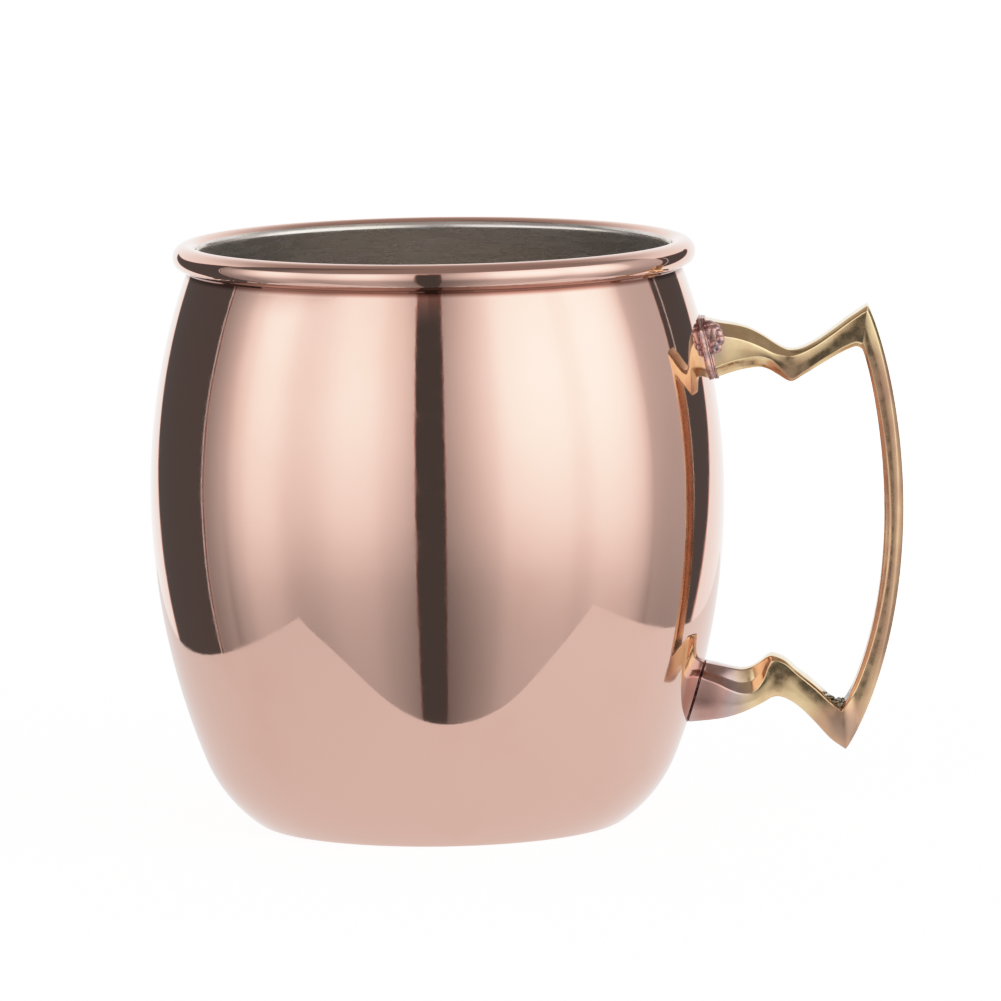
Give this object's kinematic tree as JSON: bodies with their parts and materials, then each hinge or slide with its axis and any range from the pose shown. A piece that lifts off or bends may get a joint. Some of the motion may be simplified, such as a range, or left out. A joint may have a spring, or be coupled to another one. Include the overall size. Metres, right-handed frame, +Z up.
{
  "type": "copper mug",
  "caption": "Barrel-shaped drinking mug of polished copper with a rolled rim, a nickel lining and a scroll-like cast brass handle brazed to its side.",
  "frame": {"origin": "middle of the flat base, where the mug's axis meets the table", "axes": "+Z up along the mug's axis, +X from the axis out through the handle, +Y completes a right-handed frame"},
  "size_m": [0.1181, 0.09, 0.0915],
  "materials": {
    "copper": "mirror-polished pink copper",
    "nickel": "satin, warm grey nickel",
    "brass": "polished casting, olive gold",
    "filler": "fused, lumpy, with a pink and purple heat tint"
  },
  "bodies": {
    "root": {"copper_cup": "copper", "nickel_lining": "nickel", "brass_handle": "brass", "upper_braze_joint": "filler", "lower_braze_joint": "filler"}
  },
  "joints": []
}
